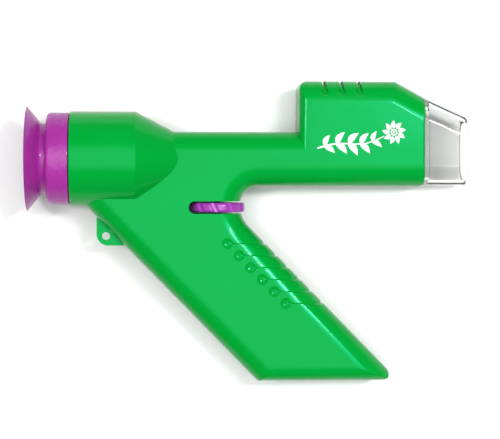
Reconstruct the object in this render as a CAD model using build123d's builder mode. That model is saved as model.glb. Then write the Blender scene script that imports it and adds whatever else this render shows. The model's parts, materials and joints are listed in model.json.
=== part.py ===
"""A toy hand microscope: moulded body in two halves, rack focus, lamp and button cells.

Design frame, in millimetres: the origin is on the optical axis at the rear edge of the body,
+X runs from the eye to the specimen, +Y towards the lamp housing, and the parting plane of
the two body halves is Z = 0, with the right half at positive Z. The last section lays the
finished pieces on the table: there +Z is up and the microscope rests on its left side.
"""

from build123d import *
import os
from math import acos, atan, atan2, cos, degrees, hypot, pi, radians, sin, sqrt, tan

os.makedirs("parts", exist_ok=True)

# ---------------------------------------------------------------- driving dimensions
reach = 400.0  # longer than anything in the model, for cuts that go right through
wall = 2.0
running = 0.08  # radial play of a sliding or turning fit
loose = 0.2  # play round a part that only drops in

# Flat body: barrel, throat and grip
half_thickness = 10.9
barrel_half_height = 11.6
body_front = 150.7
front_radius = 9.4  # long edges of the barrel, the throat and the grip's front
rear_radius = 8.8  # long edge of the grip's back
base_radius = 6.5  # edge round the grip's base
nose_radius = 1.0
nose_corner = 2.0

# Round end that holds the eyepiece
cylinder_radius = 20.2
cylinder_length = 27.7
cone_end = 44.2
rim_radius = 0.6

# Grip
grip_angle = 45.7
grip_front = 59.26  # where the grip's front line meets the barrel's underside
grip_width = 43.5
grip_drop = 94.65
toe_radius = 3.1
heel_radius = 1.7

# Lamp housing
housing_rear = 97.0
housing_height = 33.4
housing_rear_radius = 3.5
housing_corner = 4.2
slope_start = 138.9
slope_end_height = 26.9

# Focus wheel, axle, pinion and rack
wheel_radius = 11.7
wheel_thickness = 4.0
wheel_edge = 1.2
wheel_lobes = 11
wheel_groove_radius = 1.5
wheel_groove_slant = 28.0
wheel_ahead_of_front = 3.44  # axle ahead of the grip's front line, level with the barrel's underside
wheel_below_barrel = 9.0
wheel_proud = 2.2  # how far it stands out at the throat
slot_gap = 0.65
throat_radius = 8.2
axle_radius = 1.25
gear_module = 0.7
pinion_teeth = 10
pressure_angle = 25.0
stub = 0.8  # addendum in modules
backlash = 0.12
pinion_face = 3.0
rack_teeth = 5
focus_travel = 3.5  # each way from rest
washer_thickness = 0.7

# Focus tube and lenses
tube_radius = 7.0
tube_wall = 1.0
tube_rear = 40.0
tube_length = 96.0
eye_lens_radius = 11.7
eye_lens_thickness = 4.6
objective_radius = 4.5
objective_thickness = 2.4

# Eyecup and its insert
cup_rim_radius = 22.3
cup_rim_x = -18.2
neck_radius = 14.9
neck_front = -9.7
neck_rear = -12.25
collar_radius = 19.7
collar_gap = 0.3
shoulder_radius = 2.3
cup_wall = 1.5
insert_wall = 1.5

# Clear tip
tip_front = 169.5
tip_gap = 0.3
tip_half_thickness = 10.3
tip_low = 10.9
tip_top_rear = 26.7
tip_top_front = 18.3
tip_radius = 8.8
tip_wall = 1.8
tip_corner = 3.2  # upper front corner, seen from the side
spigot_length = 4.8
spigot_wall = 1.5
bead_height = 0.7
bead_width = 1.4

# Lamp, switch, cells
led_radius = 2.5
led_length = 8.6
led_tilt = 36.0
cell_radius = 5.8
cell_thickness = 5.4
cells = 3
door_thickness = 1.1
hinge_radius = 0.9
switch_travel = 2.0
switch_size = (8.6, 3.6, 3.4)
knob_size = (4.4, 3.4, 1.3)
knob_recess = 0.7
knob_proud = 0.7
stem_size = (2.2, 2.0)
wire_radius = 0.6

# Screws
screw_radius = 1.2
screw_length = 11.5
screw_head_radius = 2.3
screw_head_height = 1.6
door_screw_radius = 0.8
door_screw_length = 3.0
boss_radius = 3.2
counterbore_floor = 5.5  # below the parting plane

# Grooves for the fingers and on the lamp housing
finger_grooves = 6
finger_first = 35.8  # of the first groove, below the optical axis
finger_pitch = 5.08
finger_reach = 11.8  # from the grip's front line back to the dimple
groove_half_width = 2.3
groove_depth = 0.5
groove_start = 0.22  # size of a crease at its dimple, as a share of its full size
crease_half_width = 1.3
crease_depth = 0.35
dimple_radius = 2.3
dimple_depth = 0.7
housing_grooves = 3
housing_groove_first = 107.8
housing_groove_pitch = 7.5
housing_dimple_height = 28.4

# Lanyard lug
lug_thickness = 3.0
lug_bottom = -36.9
lug_length = 12.0
lug_corner = 4.8
lug_hole_inset = 4.0
lug_hole_radius = 1.7
lug_bead_radius = 2.2

# ---------------------------------------------------------------- derived places
grip_normal = (sin(radians(grip_angle)), cos(radians(grip_angle)))
grip_offset = grip_front * grip_normal[0] - barrel_half_height * grip_normal[1]
wheel_x = grip_front + wheel_ahead_of_front
wheel_y = -barrel_half_height - wheel_below_barrel
slot_height = wheel_thickness + 2 * slot_gap
slot_rear = wheel_x - wheel_radius - 1.0
throat_left = wheel_x + wheel_radius - wheel_proud
throat_y = -barrel_half_height - throat_radius
throat_blend = (
    grip_normal[0] * throat_left + grip_normal[1] * throat_y - grip_offset
) / (1 - grip_normal[0])
slope_angle = degrees(atan((housing_height - slope_end_height) / (body_front - slope_start)))
tuck_x = 3.1  # where the flat body starts, inside the round end
tuck_y = -16.0

tube_front = tube_rear + tube_length
guide_places = (slot_rear - 3.6, throat_left + 12.0, tube_front - focus_travel - 6.0)
guide_thickness = 1.6
bulkhead_rear = body_front - 7.3
well_wall = 1.6
pinion_radius = gear_module * pinion_teeth / 2
tooth_pitch = pi * gear_module
pinion_top = -tube_radius - 1.2
pinion_bottom = pinion_top - pinion_face
well_top = wheel_y + slot_height / 2 + well_wall
well_bottom = wheel_y - slot_height / 2 - well_wall
axle_top = pinion_top + 0.5
axle_bottom = well_bottom - 3.0

bay_floor = tube_radius + 1.9
cell_y = bay_floor + loose / 2 + cell_radius
bay_rear = housing_rear + wall + 2.4
cell_stack = cells * cell_thickness
spring_length = 2.8
bay_front = bay_rear + 0.5 + cell_stack + spring_length
bay_wall = 1.2
bay_roof = cell_y + cell_radius + loose
door_rear = bay_rear - 0.8
door_front = bay_front + 5.8
door_low = bay_floor - 0.8
door_high = bay_roof + 1.0
hinge_y = door_low + hinge_radius
hinge_z = -half_thickness + hinge_radius
door_screw_x = bay_front + 3.4
door_screw_seat = -half_thickness + 0.55
door_screw_tip = door_screw_seat + door_screw_length
door_screw_reach = cell_y - hinge_y + door_screw_radius
door_screw_swing = hypot(door_screw_reach, door_screw_tip - hinge_z) - door_screw_reach

led_direction = (cos(radians(led_tilt)), -sin(radians(led_tilt)))
led_base = (bulkhead_rear - 2.8, cell_y + 5.3)
switch_x = bulkhead_rear - 6.0
switch_y = tube_radius + 6.0
switch_top = -half_thickness + wall + 0.1
knob_top = -half_thickness - knob_proud

boss_places = [
    (cylinder_length * 0.74, cylinder_radius * 0.703),
    (cylinder_length * 0.74, -cylinder_radius * 0.703),
    (slot_rear - 8.0, wheel_y - 6.4),
]


def grip_x(behind, y):
    """Where a line parallel to the grip's front, that far behind it, passes height y."""
    return (grip_offset - behind - grip_normal[1] * y) / grip_normal[0]


middle_boss_y = -grip_drop * 0.655
low_boss_y = -grip_drop + base_radius + boss_radius
boss_places += [
    (grip_x(grip_width / 2, middle_boss_y), middle_boss_y),
    (grip_x(grip_width - rear_radius - 4.0, low_boss_y), low_boss_y),
    (grip_x(front_radius + boss_radius, low_boss_y), low_boss_y),
    (switch_x - 7.0, cell_y + 5.7),
]


# ---------------------------------------------------------------- shared forms
def edge_bar(point, along, half, radius):
    """A long bar whose rounded side lies on one straight edge of the flat body.

    The bar passes through point, runs along the edge and fills the side to its right.
    Keeping only what is inside it rounds that edge on both faces of the body."""
    with BuildPart() as bar:
        with BuildSketch(Plane(origin=point, x_dir=(0, 0, 1), z_dir=along)):
            RectangleRounded(2 * half, reach, radius, align=(Align.CENTER, Align.MIN))
        extrude(amount=reach, both=True)
    return bar.part


def block(x_range, y_range, z_range):
    """A plain block between the given limits."""
    with BuildPart(Plane(origin=(x_range[0], y_range[0], z_range[0]))) as made:
        Box(
            x_range[1] - x_range[0],
            y_range[1] - y_range[0],
            z_range[1] - z_range[0],
            align=(Align.MIN, Align.MIN, Align.MIN),
        )
    return made.part


def post(x, y, radius, z_range):
    """A round post square to the parting plane."""
    with BuildPart(Plane(origin=(x, y, z_range[0]))) as made:
        Cylinder(radius, z_range[1] - z_range[0], align=(Align.CENTER, Align.CENTER, Align.MIN))
    return made.part


def rod(start, direction, radius, length):
    """A round rod from a point, along a direction."""
    with BuildPart(Plane(origin=start, z_dir=direction)) as made:
        Cylinder(radius, length, align=(Align.CENTER, Align.CENTER, Align.MIN))
    return made.part


def ball(centre, radius):
    """A ball about a point."""
    with BuildPart(Plane(origin=centre)) as made:
        Sphere(radius)
    return made.part


def turned(points):
    """A ring or disc about the optical axis, from its outline of (x, radius) points."""
    with BuildPart() as made:
        with BuildSketch():
            with BuildLine():
                Polyline(*points, close=True)
            make_face()
        revolve(axis=Axis.X)
    return made.part


def corner_trim(corner, side_a, side_b, radius):
    """What is cut off to round a sharp upright corner whose sides leave it along a and b."""
    angle = abs(atan2(side_a[1], side_a[0]) - atan2(side_b[1], side_b[0]))
    half_angle = min(angle, 2 * pi - angle) / 2
    middle = (side_a[0] + side_b[0], side_a[1] + side_b[1])
    middle = (middle[0] / hypot(*middle), middle[1] / hypot(*middle))
    run = radius / tan(half_angle)
    deep = radius / sin(half_angle)
    centre = (corner[0] + middle[0] * deep, corner[1] + middle[1] * deep)
    with BuildPart() as trim:
        with BuildSketch():
            with BuildLine():
                Polyline(
                    (corner[0] - middle[0], corner[1] - middle[1]),
                    (corner[0] + side_a[0] * run, corner[1] + side_a[1] * run),
                    centre,
                    (corner[0] + side_b[0] * run, corner[1] + side_b[1] * run),
                    close=True,
                )
            make_face()
            with Locations(centre):
                Circle(radius, mode=Mode.SUBTRACT)
        extrude(amount=half_thickness + 1, both=True)
    return trim.part


def lower_body(inset, front):
    """Barrel, throat and grip in one, with every outer face moved in by inset."""
    half = half_thickness - inset
    top = barrel_half_height - inset
    base = -grip_drop + inset
    back = grip_width - inset
    with BuildPart() as body:
        with BuildSketch():
            with BuildLine():
                Polyline(
                    (grip_x(back, base), base),
                    (grip_x(back, tuck_y), tuck_y),
                    (tuck_x + inset, top),
                    (front, top),
                    (front, -top),
                    (throat_left + throat_radius, -top),
                )
                CenterArc(
                    (throat_left + throat_radius, throat_y), throat_radius + inset, 90, 90
                )
                blend = CenterArc(
                    (throat_left + throat_blend, throat_y),
                    throat_blend + inset,
                    180,
                    90 - grip_angle,
                )
                Polyline(blend @ 1, (grip_x(inset, base), base), (grip_x(back, base), base))
            make_face()
        extrude(amount=half, both=True)
        fillet(body.edges().filter_by(GeomType.CIRCLE), radius=front_radius - inset)
        up_the_back = (-cos(radians(grip_angle)), sin(radians(grip_angle)), 0)
        add(
            edge_bar((grip_x(back, 0), 0, 0), up_the_back, half, rear_radius - inset),
            mode=Mode.INTERSECT,
        )
        add(edge_bar((0, base, 0), (-1, 0, 0), half, base_radius - inset), mode=Mode.INTERSECT)
        add(edge_bar((0, top, 0), (1, 0, 0), half, front_radius - inset), mode=Mode.INTERSECT)
    return body.part


def housing(inset, front):
    """Lamp housing on top of the barrel's front, with every outer face moved in by inset."""
    half = half_thickness - inset
    rear = housing_rear + inset
    top = housing_height - inset
    slope_way = (cos(radians(slope_angle)), -sin(radians(slope_angle)), 0)
    slope_foot = (body_front, slope_end_height - inset / cos(radians(slope_angle)), 0)
    with BuildPart() as body:
        add(block((rear, front), (0, top), (-half, half)))
        add(edge_bar(slope_foot, slope_way, half, front_radius - inset), mode=Mode.INTERSECT)
        add(edge_bar((rear, top, 0), (1, 0, 0), half, front_radius - inset), mode=Mode.INTERSECT)
        add(
            edge_bar((rear, top, 0), (0, 1, 0), half, housing_rear_radius - inset),
            mode=Mode.INTERSECT,
        )
        add(
            corner_trim((rear, top), (1, 0), (0, -1), housing_corner - inset),
            mode=Mode.SUBTRACT,
        )
    return body.part


def round_end(inset, rear):
    """Cylinder and cone of the eyepiece end, with the outer faces moved in by inset."""
    lean = atan2(cylinder_radius - barrel_half_height, cone_end - cylinder_length)
    shoulder = cylinder_length - inset * tan(lean / 2)
    low = half_thickness - 0.6 - inset / cos(lean)
    end = cone_end + (barrel_half_height - half_thickness + 0.6) / tan(lean)
    return turned(
        [
            (rear, 0),
            (rear, cylinder_radius - inset),
            (shoulder, cylinder_radius - inset),
            (end, low),
            (end, 0),
        ]
    )


def nose(x_range, half, low, top_at_front, angle, radius):
    """A length of the front end: level underside, sloping top and rounded sides."""
    down = (cos(radians(angle)), -sin(radians(angle)), 0)
    with BuildPart() as body:
        add(block(x_range, (-low, housing_height), (-half, half)))
        add(edge_bar((0, -low, 0), (-1, 0, 0), half, radius), mode=Mode.INTERSECT)
        add(edge_bar((body_front, top_at_front, 0), down, half, radius), mode=Mode.INTERSECT)
    return body.part


def body_nose(x_range, inset):
    """The body's own front end, moved in by inset."""
    return nose(
        x_range,
        half_thickness - inset,
        barrel_half_height - inset,
        slope_end_height - inset / cos(radians(slope_angle)),
        slope_angle,
        front_radius - inset,
    )


def cusp(plane, half_width, depth):
    """Outline of a crease: two round shoulders that meet in a sharp valley."""
    rise = 0.06
    deep = depth + rise
    bend = (half_width**2 + deep**2) / (2 * deep)
    half_way = rise - bend + sqrt(bend**2 - (half_width / 2) ** 2)
    with BuildSketch(plane) as outline:
        with BuildLine():
            ThreePointArc((-half_width, rise), (-half_width / 2, half_way), (0, -depth))
            ThreePointArc((0, -depth), (half_width / 2, half_way), (half_width, rise))
            Polyline((half_width, rise), (half_width, 1.2), (-half_width, 1.2), (-half_width, rise))
        make_face()
    return outline.sketch


def finger_groove(y):
    """Cutter for one crease: level, hair-thin at its dimple and full width over the rounded edge."""
    outlines = []
    start = Plane(
        origin=(grip_x(finger_reach, y), y, half_thickness),
        x_dir=(0, -1, 0),
        z_dir=(1, 0, 0),
    )
    outlines.append(cusp(start, groove_half_width * groove_start, groove_depth * groove_start))
    for step in range(7):
        turn = radians(15 * step)
        share = groove_start + (1 - groove_start) * sin(turn) ** 1.5
        axis_y = y - front_radius * sin(turn) * grip_normal[1]
        out = Vector(grip_normal[0] * sin(turn), grip_normal[1] * sin(turn), cos(turn))
        way = Vector(0, 1, 0).cross(out).normalized()
        place = Plane(
            origin=(
                grip_x(front_radius, axis_y) + front_radius * sin(turn) * grip_normal[0],
                y,
                half_thickness - front_radius + front_radius * cos(turn),
            ),
            x_dir=out.cross(way),
            z_dir=way,
        )
        outlines.append(cusp(place, groove_half_width * share, groove_depth * share))
    end = Plane(origin=(grip_x(0, y), y, -0.05), x_dir=place.x_dir, z_dir=place.z_dir)
    outlines.append(cusp(end, groove_half_width, groove_depth))
    on_flat = loft(Sketch() + outlines[:2])
    over_edge = loft(Sketch() + outlines[1:8])
    down_front = loft(Sketch() + outlines[7:])
    return on_flat + over_edge + down_front


def dimple(x, y, z, outwards):
    """Ball that cuts one round dimple where it meets the surface point, square to it."""
    radius = (dimple_radius**2 + dimple_depth**2) / (2 * dimple_depth)
    rise = radius - dimple_depth
    return ball((x + outwards[0] * rise, y + outwards[1] * rise, z + outwards[2] * rise), radius)


def housing_groove(x):
    """Cutter for one crease across the top of the lamp housing, with its dimple."""
    centre_y = housing_height - front_radius
    centre_z = half_thickness - front_radius
    turn = degrees(acos((housing_dimple_height - centre_y) / front_radius))
    over_top = Plane(origin=(x, housing_height, centre_z), x_dir=(-1, 0, 0), z_dir=(0, 0, 1))
    outline = cusp(over_top, crease_half_width, crease_depth)
    with BuildPart() as made:
        add(outline)
        revolve(axis=Axis((x, centre_y, centre_z), (1, 0, 0)), revolution_arc=turn)
        add(outline)
        extrude(amount=-centre_z - 0.05)
    out = (0, cos(radians(turn)), sin(radians(turn)))
    end = dimple(x, centre_y + front_radius * out[1], centre_z + front_radius * out[2], out)
    return made.part + end


def lug(grow):
    """Lanyard tab and the round bead that keeps it between the halves, grown by grow."""
    behind = grip_width - wall - lug_bead_radius - loose / 2
    left = grip_x(grip_width, lug_bottom) - lug_length
    top = (grip_offset - grip_width - grip_normal[0] * left) / grip_normal[1] + wall / 2
    bead_y = lug_bottom + lug_bead_radius
    bead_length = (top - lug_bottom - lug_corner) / sin(radians(grip_angle))
    up_the_back = (-cos(radians(grip_angle)), sin(radians(grip_angle)), 0)
    with BuildPart() as made:
        with BuildSketch():
            with BuildLine():
                Polyline(
                    (left, top),
                    (left, lug_bottom),
                    (grip_x(behind, lug_bottom), lug_bottom),
                    (grip_x(behind, top), top),
                    close=True,
                )
            make_face()
            fillet(vertices().sort_by(lambda v: v.X + v.Y)[0], radius=lug_corner)
            if grow > 0:
                offset(amount=grow)
        extrude(amount=lug_thickness / 2 + grow, both=True)
        start = (grip_x(behind, bead_y), bead_y, 0)
        add(rod(start, up_the_back, lug_bead_radius + grow, bead_length))
    return made.part


# ---------------------------------------------------------------- body
with BuildPart() as flat_body:
    add(lower_body(0, body_front))
    add(housing(0, body_front))
    up_the_grip = (-cos(radians(grip_angle)), sin(radians(grip_angle)))
    up_the_slope = (-cos(radians(slope_angle)), sin(radians(slope_angle)))
    toe = (grip_x(0, -grip_drop), -grip_drop)
    heel = (grip_x(grip_width, -grip_drop), -grip_drop)
    add(corner_trim(toe, (-1, 0), up_the_grip, toe_radius), mode=Mode.SUBTRACT)
    add(corner_trim(heel, (1, 0), up_the_grip, heel_radius), mode=Mode.SUBTRACT)
    low_front = (body_front, -barrel_half_height)
    high_front = (body_front, slope_end_height)
    add(corner_trim(low_front, (-1, 0), (0, 1), nose_corner), mode=Mode.SUBTRACT)
    add(corner_trim(high_front, up_the_slope, (0, -1), nose_corner), mode=Mode.SUBTRACT)
    front_edge = edge_bar((body_front, 0, 0), (0, -1, 0), half_thickness, nose_radius)
    add(front_edge, mode=Mode.INTERSECT)

with BuildPart() as hollow:
    add(lower_body(wall, body_front + 4))
    add(housing(wall, body_front + 4))
    add(round_end(wall, -1))

with BuildPart() as half_skin:
    add(flat_body.part)
    add(round_end(0, 0))
    rear_rim = half_skin.edges().filter_by(GeomType.CIRCLE).sort_by(Axis.X).first
    fillet(rear_rim, radius=rim_radius)
    split(bisect_by=Plane.XY, keep=Keep.TOP)
    for groove in range(finger_grooves):
        groove_y = -finger_first - groove * finger_pitch
        add(finger_groove(groove_y), mode=Mode.SUBTRACT)
        dimple_x = grip_x(finger_reach, groove_y)
        add(dimple(dimple_x, groove_y, half_thickness, (0, 0, 1)), mode=Mode.SUBTRACT)
    for groove in range(housing_grooves):
        groove_x = housing_groove_first + groove * housing_groove_pitch
        add(housing_groove(groove_x), mode=Mode.SUBTRACT)
    add(hollow.part, mode=Mode.SUBTRACT)

# Ribs stop half way into the wall, so they join it without touching its outside.
with BuildPart() as rib_limit:
    add(lower_body(wall / 2, body_front - 0.5))
    add(housing(wall / 2, body_front - 0.5))
    add(round_end(wall / 2, 0.5))


def slot_cut(grow):
    """The wheel's slot: level, round at its blind end and open at the throat."""
    radius = slot_height / 2 + grow
    with BuildPart() as made:
        with BuildSketch():
            with BuildLine():
                Line((reach, wheel_y - radius), (slot_rear + radius - grow, wheel_y - radius))
                CenterArc((slot_rear + radius - grow, wheel_y), radius, 270, -180)
                Line((slot_rear + radius - grow, wheel_y + radius), (reach, wheel_y + radius))
                Line((reach, wheel_y + radius), (reach, wheel_y - radius))
            make_face()
        extrude(amount=half_thickness + 1, both=True)
    return made.part


with BuildPart() as shared_ribs:
    full = (-half_thickness, half_thickness)
    for place in guide_places:
        add(block((place, place + guide_thickness), (-tube_radius - 3.4, bay_floor - 0.4), full))
    add(block((bulkhead_rear, bulkhead_rear + guide_thickness), (-reach / 8, reach / 8), full))
    well = block((slot_rear - well_wall, throat_left + 8), (well_bottom, well_top), full)
    add(well)
    add(block((wheel_x - 4, wheel_x + 4), (axle_bottom - 1.5, well_bottom), full))
    add(block((bay_rear - bay_wall, door_front), (bay_floor - 1.2, bay_floor), full))
    with Locations(Location((guide_places[0] - 1, 0, 0), (0, 90, 0))):
        Cylinder(
            tube_radius + running,
            reach,
            align=(Align.CENTER, Align.CENTER, Align.MIN),
            mode=Mode.SUBTRACT,
        )
    add(
        rod(
            (led_base[0] - 1 * led_direction[0], led_base[1] - 1 * led_direction[1], 0),
            (*led_direction, 0),
            led_radius + 0.12,
            led_length,
        ),
        mode=Mode.SUBTRACT,
    )
    add(
        rod((wheel_x, axle_bottom, 0), (0, 1, 0), axle_radius + running, reach / 2),
        mode=Mode.SUBTRACT,
    )

# Battery bay walls stand on the right half only and reach across the parting plane.
with BuildPart() as bay_ribs:
    across = (-half_thickness + wall + 1.8, half_thickness)
    add(block((bay_rear - bay_wall, bay_rear), (bay_floor, bay_roof + bay_wall), across))
    add(block((bay_front, bay_front + bay_wall), (bay_floor, bay_roof + bay_wall), across))
    add(block((bay_rear, bay_front), (bay_roof, bay_roof + bay_wall), across))


insert_outer = cylinder_radius - wall - running
flange_x = (3.1, 4.9)
flange_radius = cylinder_radius - wall + 0.75
flange_groove = turned(
    [
        (flange_x[0] - 0.1, insert_outer - 1),
        (flange_x[0] - 0.1, flange_radius + 0.1),
        (flange_x[1] + 0.1, flange_radius + 0.1),
        (flange_x[1] + 0.1, insert_outer - 1),
    ]
)
bead_x = (body_front - spigot_length + 0.6, body_front - spigot_length + 0.6 + bead_width)
bead_groove = body_nose((bead_x[0] - 0.1, bead_x[1] + 0.1), wall - bead_height - 0.12)



def body_half(skin, side):
    """One half of the body with its ribs and screw posts, on one side of the parting plane."""
    lower, upper = sorted((0, side * reach / 10))
    with BuildPart() as ribs:
        add(shared_ribs.part)
        for x, y in boss_places:
            add(post(x, y, boss_radius, (lower, upper)))
        add(rib_limit.part, mode=Mode.INTERSECT)
        add(block((-reach, reach), (-reach, reach), (lower, upper)), mode=Mode.INTERSECT)
    with BuildPart() as half:
        add(skin)
        add(ribs.part)
        add(slot_cut(0), mode=Mode.SUBTRACT)
        add(flange_groove, mode=Mode.SUBTRACT)
        add(bead_groove, mode=Mode.SUBTRACT)
    return half.part


# Battery bay walls stand on the right half only and reach across the parting plane.
with BuildPart() as bay_ribs:
    across = (-half_thickness + wall + 1.8, half_thickness)
    add(block((bay_rear - bay_wall, bay_rear), (bay_floor, bay_roof + bay_wall), across))
    add(block((bay_front, bay_front + bay_wall), (bay_floor, bay_roof + bay_wall), across))
    add(block((bay_rear, bay_front), (bay_roof, bay_roof + bay_wall), across))
    add(rib_limit.part, mode=Mode.INTERSECT)

with BuildPart() as right_shell:
    add(body_half(half_skin.part, 1))
    add(bay_ribs.part)
    for x, y in boss_places:
        pilot = (-1, screw_length - counterbore_floor + 0.6)
        add(post(x, y, screw_radius, pilot), mode=Mode.SUBTRACT)
    add(lug(loose / 4), mode=Mode.SUBTRACT)
right_shell.part.label = "right_shell"

# Left half: screw holes, battery door opening, switch slot
door_pocket = (
    (door_rear - 0.15, door_front + 0.15),
    (hinge_y, door_high + 0.15),
    (-half_thickness - 1, -half_thickness + door_thickness + 0.1),
)

with BuildPart() as left_shell:
    add(body_half(mirror(half_skin.part, about=Plane.XY, mode=Mode.PRIVATE), -1))
    # thicker wall round the hinge, post for the door's screw
    add(
        block(
            (door_rear - 1.8, door_front + 1.8),
            (hinge_y - 2.2, hinge_y + 1.1),
            (-half_thickness + wall / 2, hinge_z + hinge_radius + 1.4),
        )
    )
    add(post(door_screw_x, cell_y, 2.4, (-half_thickness + door_thickness + 0.1, -5.2)))
    # openings
    add(
        block(
            (bay_rear, bay_front),
            (bay_floor + 0.2, bay_roof - 0.1),
            (-half_thickness - 1, -half_thickness + wall + 3),
        ),
        mode=Mode.SUBTRACT,
    )
    add(block(*door_pocket), mode=Mode.SUBTRACT)
    add(
        block(
            (door_rear - 0.15, door_front + 0.15),
            (hinge_y - hinge_radius - 0.2, hinge_y + hinge_radius + 0.2),
            (-half_thickness - 1, hinge_z),
        ),
        mode=Mode.SUBTRACT,
    )
    add(
        rod(
            (door_rear - 0.15, hinge_y, hinge_z),
            (1, 0, 0),
            hinge_radius + 0.2,
            door_front - door_rear + 0.3,
        ),
        mode=Mode.SUBTRACT,
    )
    add(
        rod((door_rear - 1.3, hinge_y, hinge_z), (1, 0, 0), 0.56, door_front - door_rear + 2.6),
        mode=Mode.SUBTRACT,
    )
    # screw hole, long enough across for the screw to swing out with the door
    door_screw_hole = (-reach / 8, -5.8)
    add(post(door_screw_x, cell_y, door_screw_radius, door_screw_hole), mode=Mode.SUBTRACT)
    add(
        block(
            (door_screw_x - door_screw_radius, door_screw_x + door_screw_radius),
            (cell_y, cell_y + door_screw_radius + door_screw_swing + running),
            door_screw_hole,
        ),
        mode=Mode.SUBTRACT,
    )
    add(
        block(
            (switch_x - knob_size[0] / 2 - 0.3, switch_x + knob_size[0] / 2 + switch_travel + 0.3),
            (switch_y - knob_size[1] / 2 - 0.3, switch_y + knob_size[1] / 2 + 0.3),
            (-half_thickness - 1, -half_thickness + knob_recess),
        ),
        mode=Mode.SUBTRACT,
    )
    add(
        block(
            (switch_x - stem_size[0] / 2 - 0.2, switch_x + stem_size[0] / 2 + switch_travel + 0.2),
            (switch_y - stem_size[1] / 2 - 0.2, switch_y + stem_size[1] / 2 + 0.2),
            (-half_thickness - 1, -half_thickness + wall + 1),
        ),
        mode=Mode.SUBTRACT,
    )
    for x, y in boss_places:
        add(post(x, y, screw_radius + 0.25, (-reach / 8, 1)), mode=Mode.SUBTRACT)
        sunk = (-reach / 8, -counterbore_floor)
        add(post(x, y, screw_head_radius + 0.35, sunk), mode=Mode.SUBTRACT)
    add(lug(loose / 4), mode=Mode.SUBTRACT)
left_shell.part.label = "left_shell"

# Lanyard tab, trapped between the halves behind the grip
lug_hole = (
    grip_x(grip_width, lug_bottom) - lug_length + lug_hole_inset,
    lug_bottom + lug_hole_inset,
)
with BuildPart() as lanyard_lug:
    add(lug(0))
    through = (-lug_thickness, lug_thickness)
    add(post(lug_hole[0], lug_hole[1], lug_hole_radius, through), mode=Mode.SUBTRACT)
lanyard_lug.part.label = "lanyard_lug"

# ---------------------------------------------------------------- screws
with BuildPart() as shell_screws:
    for x, y in boss_places:
        head = (-counterbore_floor - screw_head_height, -counterbore_floor)
        add(post(x, y, screw_head_radius, head))
        add(post(x, y, screw_radius, (-counterbore_floor, screw_length - counterbore_floor)))
        for size in ((2.8, 0.7), (0.7, 2.8)):
            drive = block(
                (x - size[0] / 2, x + size[0] / 2),
                (y - size[1] / 2, y + size[1] / 2),
                (head[0] - 1, head[0] + 0.8),
            )
            add(drive, mode=Mode.SUBTRACT)
shell_screws.part.label = "shell_screws"

# ---------------------------------------------------------------- eyepiece
collar_rear = neck_front
collar_front = -collar_gap
neck_inner = neck_radius - cup_wall
collar_inner = insert_outer + 0.06
step_x = collar_rear + cup_wall
lip = 0.8
lean = atan2(cup_rim_radius - neck_radius, neck_rear - cup_rim_x - lip)
bowl_x = neck_rear - cup_wall * sin(lean)
bowl_radius = neck_radius - cup_wall * cos(lean)
bowl_rim = bowl_radius + (bowl_x - cup_rim_x) * tan(lean)

with BuildPart() as eyecup:
    with BuildSketch():
        with BuildLine():
            Polyline(
                (cup_rim_x, bowl_rim),
                (cup_rim_x, cup_rim_radius),
                (cup_rim_x + lip, cup_rim_radius),
                (neck_rear, neck_radius),
                (collar_rear, neck_radius),
                (collar_rear, collar_radius),
                (collar_front, collar_radius),
                (collar_front, collar_inner),
                (step_x, collar_inner),
                (step_x, neck_inner),
                (bowl_x - 0.4, neck_inner),
                (bowl_x, bowl_radius),
                close=True,
            )
        make_face()
        fillet(vertices().group_by(Axis.X)[0], radius=0.35)
        shoulder = vertices().filter_by_position(Axis.X, collar_rear - 0.01, collar_rear + 0.01)
        fillet(shoulder.sort_by(Axis.Y)[-1], radius=shoulder_radius)
    revolve(axis=Axis.X)
eyecup.part.label = "eyecup"

def face_depth(radius, sag, at):
    """How far a lens face of that rim radius and sag has fallen back at a radius."""
    bow = (radius**2 + sag**2) / (2 * sag)
    return bow - sqrt(bow**2 - at**2)


def lens(x, radius, thickness, edge):
    """A lens with two equal round faces, its rim edge thick, starting at x."""
    sag = (thickness - edge) / 2
    with BuildPart() as made:
        with BuildSketch():
            with BuildLine():
                mid = radius / 2
                dip = face_depth(radius, sag, mid)
                Line((x, 0), (x + thickness, 0))
                ThreePointArc(
                    (x + thickness, 0), (x + thickness - dip, mid), (x + thickness - sag, radius)
                )
                Line((x + thickness - sag, radius), (x + sag, radius))
                ThreePointArc((x + sag, radius), (x + dip, mid), (x, 0))
            make_face()
        revolve(axis=Axis.X)
    return made.part


insert_x = bowl_x + 0.3
insert_neck = neck_inner - 0.05
lens_seat = insert_neck - insert_wall + 0.02
ring_length = 1.4
lens_x = insert_x + ring_length + 0.1
lens_edge = 2.6
lens_rim = eye_lens_radius - 0.05
lens_sag = (eye_lens_thickness - lens_edge) / 2
seat_inner = lens_seat - 1.2
seat_x = lens_x + eye_lens_thickness - face_depth(lens_rim, lens_sag, seat_inner) + 0.02
with BuildPart() as eyepiece_insert:
    add(
        turned(
            [
                (insert_x, lens_seat),
                (insert_x, insert_neck),
                (step_x + 0.1, insert_neck),
                (step_x + 0.1, insert_outer),
                (flange_x[0], insert_outer),
                (flange_x[0], flange_radius),
                (flange_x[1], flange_radius),
                (flange_x[1], insert_outer - insert_wall),
                (step_x + 0.1 + insert_wall, insert_outer - insert_wall),
                (step_x + 0.1 + insert_wall, seat_inner),
                (seat_x, seat_inner),
                (seat_x, lens_seat),
            ]
        )
    )
eyepiece_insert.part.label = "eyepiece_insert"


with BuildPart() as eye_lens:
    add(lens(lens_x, lens_rim, eye_lens_thickness, lens_edge))
eye_lens.part.label = "eye_lens"

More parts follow.
